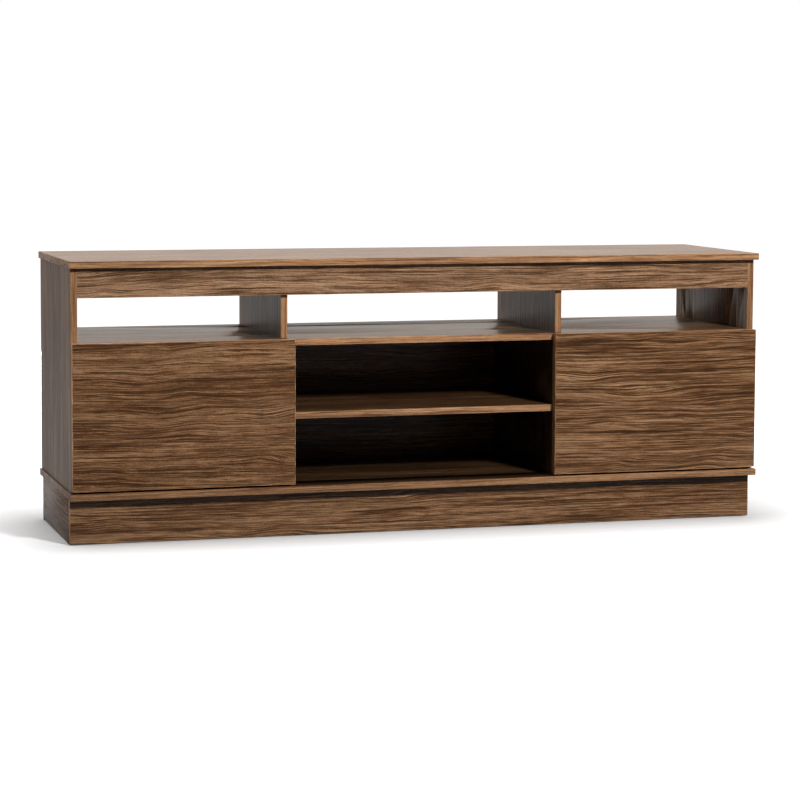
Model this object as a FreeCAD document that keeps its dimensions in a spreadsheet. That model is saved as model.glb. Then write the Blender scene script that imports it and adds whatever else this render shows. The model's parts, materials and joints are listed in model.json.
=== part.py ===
import FreeCAD, Part

import Sketcher

import os
import re

# A long, low TV stand: three open niches over a centre bay with one shelf and a cupboard at each end.
# Laminated 15 mm boards with thin edge bands are joined by dowels and cams, and stand on a recessed plinth.
# Frame: origin at the centre of the footprint on the floor, +X to the right, +Z up, the front faces -Y.
# Most places are mirrored about X = 0, so they are measured as a distance from the centre.

SIZES = [
    # carcass
    ("overall_width", 1600, "length of the top and bottom panels"),
    ("overall_height", 617, "floor to the top surface"),
    ("board_depth", 440, "front to back of the top and bottom panels"),
    ("board_thickness", 15, "every laminated board"),
    ("band_thickness", 1, "edge band on the boards' visible edges"),
    ("sheet_thickness", 3, "hardboard back sheets"),
    ("side_overhang", 4.5, "top and bottom panels past the side panels"),
    ("front_overhang", 19.5, "top and bottom panels past the carcass front"),
    ("niche_height", 161.5, "deck to the underside of the top"),
    ("rail_height", 65, "front rail under the top"),
    ("bay_width", 606, "between the two lower dividers"),
    ("upper_divider_shift", 10, "upper dividers stand this far outside the lower ones"),
    ("shelf_clearance", 0.5, "shelf end to divider"),
    ("sheet_margin", 1.5, "back sheet edge inside the boards' outer faces"),
    # plinth
    ("plinth_height", 101, "floor to the underside of the bottom panel"),
    ("plinth_setback", 35.5, "plinth front behind the bottom panel's front edge"),
    ("plinth_end_inset", 3.5, "plinth ends inside the bottom panel's ends"),
    ("plinth_back_inset", 23.5, "plinth back inside the bottom panel's back edge"),
    ("glide_standoff", 2, "plinth boards above the floor"),
    ("glide_notch", 4, "glide let into the board"),
    ("glide_length", 24, "along the board"),
    ("glide_pin_radius", 1.5, "spigot in the board"),
    ("glide_pin_length", 10, "spigot in the board"),
    ("block_size", 18, "knock-down block height and depth"),
    ("block_length", 40, "knock-down block along the board"),
    # doors
    ("door_thickness", 15, "door panel with its laminate"),
    ("door_gap_behind", 4, "door back to the carcass front"),
    ("door_gap_below", 4.5, "door bottom to the bottom panel"),
    ("hinge_end_distance", 75, "hinge centre from the door's top and bottom edges"),
    ("pivot_inset", 8, "hinge pivot from the door's outer edge"),
    ("pivot_depth", 9, "hinge pivot behind the door's back face"),
    ("cup_radius", 17.45, "steel cup"),
    ("cup_tab", 4.05, "cup to the door's outer edge"),
    ("cup_depth", 12.3, "steel cup"),
    ("cup_wall", 0.95, "cup side wall"),
    ("cup_floor", 0.6, "cup floor"),
    ("flange_thickness", 1, "cup flange on the door's back"),
    ("flange_height", 62, "cup flange, along the door's edge"),
    ("flange_width", 22, "cup flange, across the door"),
    ("cup_screw_spacing", 48, "between the two cup screws"),
    ("arm_width", 9, "hinge arm, along the door's edge"),
    ("arm_thickness", 2.4, "hinge arm"),
    ("arm_standoff", 7, "far face of the arm's leg to the side panel"),
    ("arm_leg_length", 66, "pivot to the end of the arm's leg"),
    ("hub_radius", 2.2, "rolled eye of the arm"),
    ("pin_radius", 1.2, "hinge pin"),
    ("pin_clearance", 0.05, "pin in the arm's eye"),
    ("ear_clearance", 0.25, "arm to the cup's ears, each side"),
    ("ear_thickness", 2.5, "cup ear"),
    ("plate_base", 2, "mounting plate base"),
    ("plate_height", 44, "mounting plate along the side panel's edge"),
    ("plate_length", 34, "mounting plate front to back"),
    ("plate_screw_line", 37, "plate screws behind the carcass front"),
    ("plate_screw_spacing", 32, "between the two plate screws"),
    # push latches
    ("latch_width", 14, "latch housing"),
    ("latch_height", 14, "latch housing"),
    ("latch_length", 60, "latch housing"),
    ("latch_setback", 1, "housing front behind the carcass front"),
    ("latch_divider_gap", 14, "housing to the lower divider"),
    ("plunger_radius", 4, "latch plunger"),
    ("plunger_clearance", 0.08, "plunger in its bore"),
    ("plunger_length", 44, "latch plunger"),
    ("plunger_end_room", 6, "free bore behind the plunger"),
    ("strike_radius", 7.5, "strike disc on the door"),
    ("strike_thickness", 0.8, "strike disc on the door"),
    ("strike_gap", 0.5, "plunger tip to the strike disc"),
    # fasteners
    ("dowel_radius", 4, "wood dowel"),
    ("dowel_in_face", 10, "dowel in a board's face"),
    ("dowel_in_edge", 20, "dowel in a board's edge"),
    ("fastener_clearance", 0.05, "round a dowel, bolt, screw or nail in its hole"),
    ("end_clearance", 0.2, "past the end of a dowel, bolt, screw or nail"),
    ("cam_radius", 7.4, "cam lock disc"),
    ("cam_clearance", 0.1, "round the cam lock in its pocket"),
    ("cam_depth", 11.8, "cam lock disc"),
    ("cam_reach", 34, "joint to the cam's centre"),
    ("bolt_radius", 3.2, "cam bolt shank"),
    ("bolt_thread_radius", 2.5, "cam bolt thread"),
    ("bolt_thread_length", 11, "cam bolt thread"),
    ("screw_radius", 1.75, "screws"),
    ("screw_head_radius", 3.4, "screw heads"),
    ("screw_head_height", 2, "screw heads"),
    ("screw_in_board", 11, "short screws in a board"),
    ("long_screw_in_board", 35, "divider screws in the divider"),
    ("nail_radius", 0.8, "back sheet nails"),
    ("nail_length", 18, "back sheet nails"),
    ("shelf_pin_radius", 2.5, "shelf pins"),
    ("shelf_pin_in", 8, "shelf pin in the divider"),
    ("shelf_pin_out", 8, "shelf pin under the shelf"),
    ("joint_inset", 60, "first fastener from a joint's front or back end"),
    ("joint_step", 45, "from one fastener to the next in a joint"),
]

# Places worked out from the sizes. "from centre" ones hold for both halves.
PLACES = {
    "half_width": "overall_width / 2",
    "front_edge": "-(board_depth + sheet_thickness) / 2",
    "boards_back": "front_edge + board_depth",
    "sheets_back": "boards_back + sheet_thickness",
    "carcass_front": "front_edge + front_overhang",
    "side_outer": "half_width - side_overhang",
    "side_inner": "side_outer - board_thickness",
    "side_middle": "side_outer - board_thickness / 2",
    "bottom_top": "plinth_height + board_thickness",
    "bottom_middle": "plinth_height + board_thickness / 2",
    "top_under": "overall_height - board_thickness",
    "deck_top": "top_under - niche_height",
    "deck_under": "deck_top - board_thickness",
    "deck_middle": "deck_top - board_thickness / 2",
    "bay_half": "bay_width / 2",
    "lower_outer": "bay_half + board_thickness",
    "lower_middle": "bay_half + board_thickness / 2",
    "upper_inner": "bay_half + upper_divider_shift",
    "upper_outer": "upper_inner + board_thickness",
    "upper_middle": "upper_inner + board_thickness / 2",
    "rail_back": "carcass_front + board_thickness",
    "rail_middle": "carcass_front + board_thickness / 2",
    "rail_bottom": "top_under - rail_height",
    "shelf_under": "(bottom_top + deck_under - board_thickness) / 2",
    "plinth_outer": "half_width - plinth_end_inset",
    "plinth_inner": "plinth_outer - board_thickness",
    "plinth_middle": "plinth_outer - board_thickness / 2",
    "plinth_front_face": "front_edge + plinth_setback",
    "plinth_front_back": "plinth_front_face + board_thickness",
    "plinth_back_face": "boards_back - plinth_back_inset",
    "plinth_back_front": "plinth_back_face - board_thickness",
    "plinth_low_joint": "glide_standoff + (plinth_height - glide_standoff) / 3",
    "plinth_high_joint": "plinth_height - (plinth_height - glide_standoff) / 4",
    "door_back": "carcass_front - door_gap_behind",
    "door_front": "door_back - door_thickness",
    "door_bottom": "bottom_top + door_gap_below",
    "door_width": "side_outer - bay_half",
    "door_height": "deck_top - door_bottom",
    "pivot_out": "side_outer - pivot_inset",
    "pivot_line": "door_back - pivot_depth",
    "cup_inset": "cup_tab + cup_radius",
    "cup_out": "side_outer - cup_inset",
    "lower_hinge": "door_bottom + hinge_end_distance",
    "upper_hinge": "deck_top - hinge_end_distance",
    "arm_leg_out": "side_inner - arm_standoff",
    "arm_leg_face": "arm_leg_out + arm_thickness",
    "arm_end": "pivot_line + arm_leg_length",
    "plate_line": "carcass_front + plate_screw_line",
    "latch_inner": "lower_outer + latch_divider_gap",
    "latch_middle": "latch_inner + latch_width / 2",
    "latch_front": "carcass_front + latch_setback",
    "latch_level": "deck_under - latch_height / 2",
    "plunger_tip": "door_back + strike_thickness + strike_gap",
}

# A rod's own axis is Z, so these turn it to point along each direction of the frame.
TURNS = {
    "+x": FreeCAD.Rotation(FreeCAD.Vector(0, 1, 0), 90),
    "-x": FreeCAD.Rotation(FreeCAD.Vector(0, 1, 0), -90),
    "+y": FreeCAD.Rotation(FreeCAD.Vector(1, 0, 0), -90),
    "-y": FreeCAD.Rotation(FreeCAD.Vector(1, 0, 0), 90),
    "+z": FreeCAD.Rotation(),
    "-z": FreeCAD.Rotation(FreeCAD.Vector(1, 0, 0), 180),
}
OUTWARD = {"left": "-x", "right": "+x"}
INWARD = {"left": "+x", "right": "-x"}
SIDES = ("left", "right")

doc = FreeCAD.newDocument("TvStand")
sheet = doc.addObject("Spreadsheet::Sheet", "Sizes")
for row, (alias, value, note) in enumerate(SIZES, 1):
    sheet.set(f"A{row}", alias.replace("_", " "))
    sheet.set(f"B{row}", str(value))
    sheet.set(f"C{row}", note)
    sheet.setAlias(f"B{row}", alias)
doc.recompute()

ALIASES = {alias for alias, value, note in SIZES}
nodes = []
bores = {}


# ---- expressions and places ----

def full(text):
    """Spell a formula out in the sheet's aliases."""
    def spell(match):
        word = match.group(0)
        if word in PLACES:
            return "(" + full(PLACES[word]) + ")"
        if word in ALIASES:
            return "Sizes." + word
        raise ValueError("unknown size: " + word)
    return re.sub(r"[a-z][a-z_]+", spell, text)


def bind(item, prop, text):
    item.setExpression(prop, full(text))


def out(side, distance):
    """X at a distance from the centre on one side."""
    return distance if side == "right" else f"-({distance})"


def span(side, near, far):
    """X range between two distances from the centre on one side."""
    return (near, far) if side == "right" else (f"-({far})", f"-({near})")


def moved(point, direction, distance):
    """The point, moved along a direction of the frame."""
    sign, axis = direction
    place = list(point)
    index = "xyz".index(axis)
    place[index] = f"({place[index]}) {sign} ({distance})"
    return tuple(place)


# ---- shapes ----

def block(name, x, y, z):
    """A box between two places on each axis."""
    box = doc.addObject("Part::Box", name)
    for size, axis, (low, high) in zip(("Length", "Width", "Height"), "xyz", (x, y, z)):
        bind(box, size, f"({high}) - ({low})")
        bind(box, f"Placement.Base.{axis}", low)
    return box


def rod(name, radius, start, direction, length):
    """A round bar from a point along a direction of the frame."""
    bar = doc.addObject("Part::Cylinder", name)
    bar.Placement = FreeCAD.Placement(FreeCAD.Vector(), TURNS[direction])
    bind(bar, "Radius", radius)
    bind(bar, "Height", length)
    for axis, place in zip("xyz", start):
        bind(bar, f"Placement.Base.{axis}", place)
    return bar


def fused(name, shapes):
    if len(shapes) == 1:
        return shapes[0]
    union = doc.addObject("Part::MultiFuse", name)
    union.Shapes = shapes
    return union


def cut(name, base, tools):
    result = doc.addObject("Part::Cut", name)
    result.Base = base
    result.Tool = fused(name + "_tools", tools)
    return result


def common(name, base, tool):
    result = doc.addObject("Part::Common", name)
    result.Base = base
    result.Tool = tool
    return result


def node(name, item):
    """Name an object as one piece of the stand."""
    item.Label = name
    nodes.append(item)
    return item


def group(name, items):
    """Separate like solids that share one node."""
    bundle = doc.addObject("Part::Compound", name + "_group")
    bundle.Links = items
    return node(name, bundle)


def bore(tool, *boards):
    """Note a hole through one or more boards, which finish_board cuts."""
    for board in boards:
        bores.setdefault(board, []).append(tool)


def finish_board(name, x, y, z):
    """One board with every hole and notch that was noted for it."""
    blank = block(name + "_blank", x, y, z)
    if name in bores:
        return node(name, cut(name + "_cut", blank, bores[name]))
    return node(name, blank)


# ---- fasteners: each makes its solid and notes the holes that it sits in ----

dowels = []
cams = []
cam_bolts = []
shelf_pins = []
nails = []
block_screws = []
divider_screws = []


def dowel(face_board, edge_board, point, direction):
    """A dowel that stands in one board's face and runs into the other's edge."""
    start = moved(point, direction, "-dowel_in_face")
    dowels.append(rod("dowel", "dowel_radius", start, direction, "dowel_in_face + dowel_in_edge"))
    hole = rod("dowel_hole", "dowel_radius + fastener_clearance", moved(start, direction, "-end_clearance"),
               direction, "dowel_in_face + dowel_in_edge + 2 * end_clearance")
    bore(hole, face_board, edge_board)


def cam_joint(face_board, edge_board, point, direction, cam_face, cam_direction):
    """A bolt in one board's face, held by a cam let into a face of the other board."""
    thread_start = moved(point, direction, "-bolt_thread_length")
    shank = rod("bolt_shank", "bolt_radius", point, direction, "cam_reach - cam_radius - end_clearance")
    thread = rod("bolt_thread", "bolt_thread_radius", thread_start, direction, "bolt_thread_length")
    cam_bolts.append(fused("cam_bolt", [shank, thread]))
    bore(rod("shank_hole", "bolt_radius + fastener_clearance", point, direction, "cam_reach"), edge_board)
    bore(rod("thread_hole", "bolt_thread_radius + fastener_clearance",
             moved(thread_start, direction, "-end_clearance"), direction,
             "bolt_thread_length + end_clearance"), face_board)
    centre = list(moved(point, direction, "cam_reach"))
    centre["xyz".index(cam_direction[1])] = cam_face
    disc = rod("cam", "cam_radius", centre, cam_direction, "cam_depth")
    socket = rod("cam_socket", "bolt_thread_radius", centre, cam_direction, "screw_head_height")
    cams.append(cut("cam_lock", disc, [socket]))
    bore(rod("cam_pocket", "cam_radius + cam_clearance", centre, cam_direction, "cam_depth + end_clearance"), edge_board)


def screw(name, head, direction, length):
    """A flat-headed screw whose head starts flush at a point, and the hole it needs."""
    neck = moved(head, direction, "screw_head_height")
    solid = fused(name, [
        rod(name + "_head", "screw_head_radius", head, direction, "screw_head_height"),
        rod(name + "_shank", "screw_radius", neck, direction, f"({length}) - screw_head_height"),
    ])
    hole = fused(name + "_hole", [
        rod(name + "_head_hole", "screw_head_radius + fastener_clearance", head, direction, "screw_head_height"),
        rod(name + "_shank_hole", "screw_radius + fastener_clearance", head, direction,
            f"({length}) + end_clearance"),
    ])
    return solid, hole


def joint_places(front, back):
    """Two cam places and two dowel places along a joint, from its ends inward."""
    cam_places = (f"{front} + joint_inset", f"{back} - joint_inset")
    dowel_places = (f"{front} + joint_inset + joint_step", f"{back} - joint_inset - joint_step")
    return cam_places, dowel_places


# ---- joints between the boards ----

def side_panel_joints(side):
    board = side + "_side_panel"
    middle = out(side, "side_middle")
    inner = out(side, "side_inner")
    cam_places, dowel_places = joint_places("carcass_front", "boards_back")
    for place in cam_places:
        cam_joint("top_panel", board, (middle, place, "top_under"), "-z", inner, OUTWARD[side])
        cam_joint("bottom_panel", board, (middle, place, "bottom_top"), "+z", inner, OUTWARD[side])
        cam_joint(board, "niche_deck", (inner, place, "deck_middle"), INWARD[side], "deck_under", "+z")
    for place in dowel_places:
        dowel("top_panel", board, (middle, place, "top_under"), "-z")
        dowel("bottom_panel", board, (middle, place, "bottom_top"), "+z")
        dowel(board, "niche_deck", (inner, place, "deck_middle"), INWARD[side])


def divider_joints(side):
    lower = side + "_lower_divider"
    upper = side + "_upper_divider"
    lower_x = out(side, "lower_middle")
    upper_x = out(side, "upper_middle")
    dowel_places, screw_places = joint_places("carcass_front", "boards_back")
    for place in dowel_places:
        dowel("bottom_panel", lower, (lower_x, place, "bottom_top"), "+z")
        dowel("niche_deck", lower, (lower_x, place, "deck_under"), "-z")
    for place in screw_places:
        solid, hole = screw("divider_screw", (lower_x, place, "plinth_height"), "+z",
                            "board_thickness + long_screw_in_board")
        divider_screws.append(solid)
        bore(hole, "bottom_panel", lower)
    for place in joint_places("rail_back", "boards_back")[1]:
        dowel("niche_deck", upper, (upper_x, place, "deck_top"), "+z")
        dowel("top_panel", upper, (upper_x, place, "top_under"), "-z")


def rail_joints(side):
    board = side + "_side_panel"
    inner = out(side, "side_inner")
    cam_joint(board, "front_rail", (inner, "rail_middle", "rail_bottom + rail_height / 2"), INWARD[side],
              "rail_back", "-y")
    for level in ("rail_bottom + rail_height / 5", "top_under - rail_height / 5"):
        dowel(board, "front_rail", (inner, "rail_middle", level), INWARD[side])


def shelf_supports(side):
    """Two pins in a lower divider, just under the shelf."""
    for place in ("carcass_front + joint_inset", "boards_back - joint_inset"):
        start = (out(side, "bay_half + shelf_pin_in"), place, "shelf_under - shelf_pin_radius")
        pin = rod("shelf_pin", "shelf_pin_radius", start, INWARD[side], "shelf_pin_in + shelf_pin_out")
        shelf_pins.append(pin)
        hole = rod("shelf_pin_hole", "shelf_pin_radius + fastener_clearance",
                   moved(start, OUTWARD[side], "end_clearance"), INWARD[side], "shelf_pin_in + end_clearance")
        bore(hole, side + "_lower_divider")


def plinth_joints(side):
    end = f"plinth_{side}_end"
    for level in ("plinth_low_joint", "plinth_high_joint"):
        dowel("plinth_front", end, (out(side, "plinth_middle"), "plinth_front_back", level), "+y")
        dowel(end, "plinth_back", (out(side, "plinth_inner"), "plinth_back_face - board_thickness / 2", level),
              INWARD[side])


def brace_joints():
    for level in ("plinth_low_joint", "plinth_high_joint"):
        dowel("plinth_front", "plinth_brace", ("0", "plinth_front_back", level), "+y")
        dowel("plinth_back", "plinth_brace", ("0", "plinth_back_front", level), "-y")


def knock_down_block(side, distance, board, face, direction):
    """A block in the corner of the bottom panel and a plinth board, with a screw into each."""
    x = out(side, distance)
    outer_face = moved(("0", face, "0"), direction, "block_size")[1]
    depth = (face, outer_face) if direction == "+y" else (outer_face, face)
    body = block("plinth_block", (f"{x} - block_length / 2", f"{x} + block_length / 2"), depth,
                 ("plinth_height - block_size", "plinth_height"))
    middle = moved(("0", face, "0"), direction, "block_size / 2")[1]
    back_direction = "-y" if direction == "+y" else "+y"
    up, up_hole = screw("block_screw", (f"{x} - block_length / 4", middle, "plinth_height - block_size"), "+z",
                        "block_size + screw_in_board")
    flat, flat_hole = screw("block_screw", (f"{x} + block_length / 4", outer_face,
                                            "plinth_height - block_size / 2"), back_direction,
                            "block_size + screw_in_board")
    block_screws.extend([up, flat])
    bore(up_hole, "bottom_panel")
    bore(flat_hole, board)
    return cut("drilled_block", body, [up_hole, flat_hole])


def floor_glide(name, x, y, board):
    """A plastic glide let into a board's lower edge, with a spigot up into it."""
    pad = block(name, x, y, ("0", "glide_standoff + glide_notch"))
    centre = (f"({x[0]} + {x[1]}) / 2", f"({y[0]} + {y[1]}) / 2", "glide_standoff + glide_notch")
    spigot = rod(name + "_spigot", "glide_pin_radius", centre, "+z", "glide_pin_length")
    bore(block(name + "_notch", x, y, ("glide_standoff - glide_notch", "glide_standoff + glide_notch")), board)
    bore(rod(name + "_hole", "glide_pin_radius + fastener_clearance", centre, "+z",
             "glide_pin_length + end_clearance"), board)
    return fused(name + "_solid", [pad, spigot])


def nail(x, z, board):
    """A headless nail through a back sheet into a board's back edge."""
    nails.append(rod("nail", "nail_radius", (x, "sheets_back", z), "-y", "nail_length"))
    bore(rod("nail_hole", "nail_radius + fastener_clearance", (x, "sheets_back", z), "-y",
             "nail_length + end_clearance"), *board)


for side in SIDES:
    side_panel_joints(side)
    divider_joints(side)
    rail_joints(side)
    shelf_supports(side)
    plinth_joints(side)
brace_joints()

for share in ("-1 / 3", "0", "1 / 3"):
    dowel("top_panel", "front_rail", (f"side_inner * ({share})", "rail_middle", "top_under"), "-z")

blocks = []
for side in SIDES:
    for share in ("1 / 4", "3 / 4"):
        distance = f"plinth_inner * {share}"
        blocks.append(knock_down_block(side, distance, "plinth_front", "plinth_front_back", "+y"))
        blocks.append(knock_down_block(side, distance, "plinth_back", "plinth_back_front", "-y"))

glides = []
front_glide = ("plinth_front_back", "plinth_front_back + glide_length")
for side in SIDES:
    ends = span(side, "plinth_inner", "plinth_outer")
    glides.append(floor_glide("front_glide", ends, front_glide, f"plinth_{side}_end"))
    glides.append(floor_glide("back_glide", ends, ("plinth_back_face - glide_length", "plinth_back_face"),
                              f"plinth_{side}_end"))
brace_width = ("-board_thickness / 2", "board_thickness / 2")
glides.append(floor_glide("middle_front_glide", brace_width, front_glide, "plinth_brace"))
glides.append(floor_glide("middle_back_glide", brace_width,
                          ("plinth_back_front - glide_length", "plinth_back_front"), "plinth_brace"))

for side in SIDES:
    sheet_name = side + "_back_panel"
    for share in ("1 / 4", "1 / 2", "3 / 4"):
        along = out(side, f"lower_outer + (side_inner - lower_outer) * {share}")
        nail(along, "bottom_middle", (sheet_name, "bottom_panel"))
        nail(along, "deck_middle", (sheet_name, "niche_deck"))
        level = f"bottom_top + (deck_under - bottom_top) * {share}"
        nail(out(side, "side_middle"), level, (sheet_name, side + "_side_panel"))
for share in ("-2 / 3", "0", "2 / 3"):
    nail(f"bay_half * ({share})", "bottom_middle", ("centre_back_panel", "bottom_panel"))
    nail(f"bay_half * ({share})", "deck_middle", ("centre_back_panel", "niche_deck"))


# ---- hinges and latches: fixed parts on the cabinet, with their screw holes in the boards ----

hinge_arms = []
hinge_plates = []
plate_screws = []
arm_screws = []
latch_housings = []
latch_screws = []


def hinge_arm(side, level):
    """Strip from the eye across the cup, and a leg back along the side panel onto its plate."""
    width = (f"{level} - arm_width / 2", f"{level} + arm_width / 2")
    strip_depth = ("pivot_line - arm_thickness / 2", "pivot_line + arm_thickness / 2")
    strip = block("arm_strip", span(side, "arm_leg_out", "pivot_out"), strip_depth, width)
    leg = block("arm_leg", span(side, "arm_leg_out", "arm_leg_face"),
                ("pivot_line - arm_thickness / 2", "arm_end"), width)
    eye = rod("arm_eye", "hub_radius", (out(side, "pivot_out"), "pivot_line", width[0]), "+z", "arm_width")
    pin_hole = rod("eye_hole", "pin_radius + pin_clearance", (out(side, "pivot_out"), "pivot_line", width[0]),
                   "+z", "arm_width")
    solid, hole = screw("arm_screw", (out(side, "arm_leg_out"), "plate_line", level), OUTWARD[side],
                        "side_inner - arm_leg_out")
    arm_screws.append(solid)
    hinge_arms.append(cut("hinge_arm", fused("arm_body", [strip, leg, eye]), [pin_hole, hole]))
    return hole


def mounting_plate(side, level, arm_screw_hole):
    """Base screwed to the side panel, with a saddle that carries the arm's leg."""
    base_y = ("plate_line - plate_length / 2", "plate_line + plate_length / 2")
    base = block("plate_base", span(side, "side_inner - plate_base", "side_inner"), base_y,
                 (f"{level} - plate_height / 2", f"{level} + plate_height / 2"))
    saddle = block("plate_saddle", span(side, "arm_leg_face", "side_inner"), base_y,
                   (f"{level} - arm_width / 2", f"{level} + arm_width / 2"))
    holes = [arm_screw_hole]
    for step in ("-1", "1"):
        head = (out(side, "side_inner - plate_base"), "plate_line", f"{level} + {step} * plate_screw_spacing / 2")
        solid, hole = screw("plate_screw", head, OUTWARD[side], "plate_base + screw_in_board")
        plate_screws.append(solid)
        holes.append(hole)
        bore(hole, side + "_side_panel")
    hinge_plates.append(cut("hinge_plate", fused("plate_body", [base, saddle]), holes))


def push_latch(side):
    """Housing under the deck beside the lower divider; its plunger meets the door's strike disc."""
    latch_x = span(side, "latch_inner", "latch_inner + latch_width")
    body = block("latch_body", latch_x, ("latch_front", "latch_front + latch_length"),
                 ("deck_under - latch_height", "deck_under"))
    mouth = (out(side, "latch_middle"), "latch_front", "latch_level")
    bore_length = "plunger_tip + plunger_length + plunger_end_room - latch_front"
    holes = [rod("plunger_bore", "plunger_radius + plunger_clearance", mouth, "+y", bore_length)]
    plunger = rod("plunger", "plunger_radius", (mouth[0], "plunger_tip", mouth[2]), "+y", "plunger_length")
    ears_y = ("latch_front + latch_length", "latch_front + latch_length + 2 * screw_head_radius + 2")
    ear = block("latch_ear", latch_x, ears_y, ("deck_under - 2 * screw_head_height", "deck_under"))
    front_ear_x = span(side, "latch_inner + latch_width", "latch_inner + latch_width + 2 * screw_head_radius + 2")
    front_ear = block("latch_front_ear", front_ear_x, ("latch_front", "latch_front + latch_width"),
                      ("deck_under - 2 * screw_head_height", "deck_under"))
    heads = (
        (mouth[0], f"({ears_y[0]} + {ears_y[1]}) / 2", "deck_under - 2 * screw_head_height"),
        (f"({front_ear_x[0]} + {front_ear_x[1]}) / 2", "latch_front + latch_width / 2",
         "deck_under - 2 * screw_head_height"),
    )
    for head in heads:
        solid, hole = screw("latch_screw", head, "+z", "2 * screw_head_height + screw_in_board")
        latch_screws.append(solid)
        holes.append(hole)
        bore(hole, "niche_deck")
    latch_housings.append(cut("latch_housing", fused("latch_shell", [body, ear, front_ear]), holes))
    return plunger


plungers = {}
for side in SIDES:
    for level in ("lower_hinge", "upper_hinge"):
        mounting_plate(side, level, hinge_arm(side, level))
    plungers[side] = push_latch(side)


# ---- boards ----

# the edge band stands in front of each board's core
banded_front = "carcass_front + band_thickness"
panel_x = ("-half_width + band_thickness", "half_width - band_thickness")
panel_y = ("front_edge + band_thickness", "boards_back")
between_sides = ("-side_inner", "side_inner")
carcass_y = (banded_front, "boards_back")

finish_board("top_panel", panel_x, panel_y, ("top_under", "overall_height"))
finish_board("bottom_panel", panel_x, panel_y, ("plinth_height", "bottom_top"))
finish_board("niche_deck", between_sides, carcass_y, ("deck_under", "deck_top"))
finish_board("centre_shelf", ("-bay_half + shelf_clearance", "bay_half - shelf_clearance"), carcass_y,
             ("shelf_under", "shelf_under + board_thickness"))
finish_board("front_rail", between_sides, ("carcass_front", "rail_back"),
             ("rail_bottom + band_thickness", "top_under"))
for side in SIDES:
    finish_board(side + "_side_panel", span(side, "side_inner", "side_outer"), carcass_y,
                 ("bottom_top", "top_under"))
    finish_board(side + "_lower_divider", span(side, "bay_half", "lower_outer"), carcass_y,
                 ("bottom_top", "deck_under"))
    finish_board(side + "_upper_divider", span(side, "upper_inner", "upper_outer"),
                 ("rail_back + band_thickness", "boards_back"), ("deck_top", "top_under"))
    finish_board(side + "_back_panel", span(side, "lower_middle", "side_outer - sheet_margin"),
                 ("boards_back", "sheets_back"), ("plinth_height + sheet_margin", "deck_top - sheet_margin"))
    finish_board(f"plinth_{side}_end", span(side, "plinth_inner", "plinth_outer"),
                 ("plinth_front_back", "plinth_back_face"), ("glide_standoff", "plinth_height"))
finish_board("centre_back_panel", ("-lower_middle", "lower_middle"), ("boards_back", "sheets_back"),
             ("plinth_height + sheet_margin", "deck_top - sheet_margin"))
finish_board("plinth_front", ("-plinth_outer + band_thickness", "plinth_outer - band_thickness"),
             ("plinth_front_face", "plinth_front_back"), ("glide_standoff", "plinth_height"))
finish_board("plinth_back", ("-plinth_inner", "plinth_inner"), ("plinth_back_front", "plinth_back_face"),
             ("glide_standoff", "plinth_height"))
finish_board("plinth_brace", brace_width, ("plinth_front_back", "plinth_back_front"),
             ("glide_standoff", "plinth_height"))


# ---- edge bands ----

def panel_bands(name, z):
    """Strips round the front and both ends of the top or bottom panel."""
    front = block(name + "_front", ("-half_width", "half_width"),
                  ("front_edge", "front_edge + band_thickness"), z)
    ends = [block(name + "_end", span(side, "half_width - band_thickness", "half_width"), panel_y, z)
            for side in SIDES]
    group(name, [front] + ends)


def front_band(name, x, z, front="carcass_front"):
    return block(name, x, (front, f"{front} + band_thickness"), z)


panel_bands("top_edge_bands", ("top_under", "overall_height"))
panel_bands("bottom_edge_bands", ("plinth_height", "bottom_top"))
node("deck_edge_band", front_band("deck_band", between_sides, ("deck_under", "deck_top")))
node("shelf_edge_band", front_band("shelf_band", ("-bay_half + shelf_clearance", "bay_half - shelf_clearance"),
                                   ("shelf_under", "shelf_under + board_thickness")))
node("rail_edge_band", block("rail_band", between_sides, ("carcass_front", "rail_back"),
                             ("rail_bottom", "rail_bottom + band_thickness")))
group("side_edge_bands", [front_band("side_band", span(side, "side_inner", "side_outer"),
                                     ("bottom_top", "top_under")) for side in SIDES])
group("lower_divider_edge_bands", [front_band("lower_divider_band", span(side, "bay_half", "lower_outer"),
                                              ("bottom_top", "deck_under")) for side in SIDES])
group("upper_divider_edge_bands", [front_band("upper_divider_band", span(side, "upper_inner", "upper_outer"),
                                              ("deck_top", "top_under"), "rail_back") for side in SIDES])
group("plinth_edge_bands", [block("plinth_band", span(side, "plinth_outer - band_thickness", "plinth_outer"),
                                  ("plinth_front_face", "plinth_front_back"),
                                  ("glide_standoff", "plinth_height")) for side in SIDES])


# ---- doors ----

def origin_plane(body, role):
    return next(item for item in body.Origin.OriginFeatures if item.Role == role)


def sketch_on(body, name, role):
    sketch = body.newObject("Sketcher::SketchObject", name)
    sketch.AttachmentSupport = [(origin_plane(body, role), "")]
    sketch.MapMode = "FlatFace"
    return sketch


def draw_rectangle(sketch, width, height):
    """A rectangle with its lower left corner on the sketch's origin."""
    corners = [FreeCAD.Vector(0, 0), FreeCAD.Vector(90, 0), FreeCAD.Vector(90, 60), FreeCAD.Vector(0, 60)]
    for index in range(4):
        sketch.addGeometry(Part.LineSegment(corners[index], corners[(index + 1) % 4]))
    for index in range(4):
        sketch.addConstraint(Sketcher.Constraint("Coincident", index, 2, (index + 1) % 4, 1))
    for index, kind in enumerate(("Horizontal", "Vertical", "Horizontal", "Vertical")):
        sketch.addConstraint(Sketcher.Constraint(kind, index))
    sketch.addConstraint(Sketcher.Constraint("Coincident", 0, 1, -1, 1))
    for name, kind, line, text in (("width", "DistanceX", 0, width), ("height", "DistanceY", 1, height)):
        number = sketch.addConstraint(Sketcher.Constraint(kind, line, 1, line, 2, 50))
        sketch.renameConstraint(number, name)
        bind(sketch, f"Constraints.{name}", text)


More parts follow.
